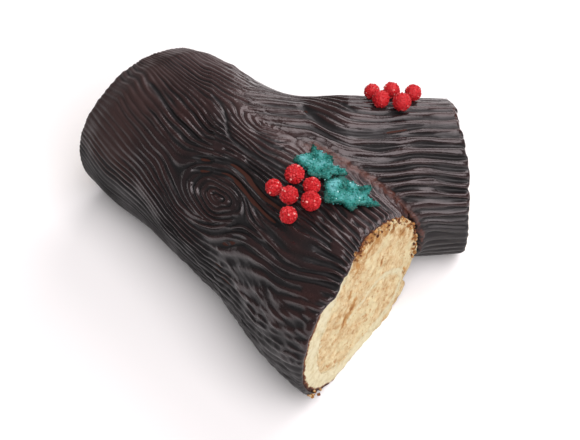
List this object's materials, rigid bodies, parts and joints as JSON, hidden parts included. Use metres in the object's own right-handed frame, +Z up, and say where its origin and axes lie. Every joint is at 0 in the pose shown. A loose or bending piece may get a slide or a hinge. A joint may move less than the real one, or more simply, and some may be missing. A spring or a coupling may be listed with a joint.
{
  "type": "yule log cake",
  "caption": "Chocolate yule log cake: a filled sponge roll with a branch piece at its side, bark-combed icing, sugar berries and holly leaves, resting flat.",
  "frame": {"origin": "on the floor under the middle of the cake's box", "axes": "+X along the log towards its bared cut end, +Y towards the side the branch leaves, +Z up"},
  "size_m": [0.2128, 0.1892, 0.106],
  "materials": {
    "chocolate_icing": "glossy, combed into bark ridges",
    "sponge": "matt open crumb",
    "cream": "matt, slightly moist",
    "berry_sugar": "sugar-coated, sparkling",
    "leaf_sugar": "sugar-coated, sparkling"
  },
  "bodies": {
    "root": {"icing": "chocolate_icing", "log_sponge": "sponge", "log_filling": "cream", "branch_sponge": "sponge", "branch_filling": "cream", "log_berry_1": "berry_sugar", "log_berry_2": "berry_sugar", "log_berry_3": "berry_sugar", "log_berry_4": "berry_sugar", "log_berry_5": "berry_sugar", "log_berry_6": "berry_sugar", "branch_berry_1": "berry_sugar", "branch_berry_2": "berry_sugar", "branch_berry_3": "berry_sugar", "branch_berry_4": "berry_sugar", "branch_berry_5": "berry_sugar", "log_leaf_1": "leaf_sugar", "log_leaf_2": "leaf_sugar"}
  },
  "joints": []
}
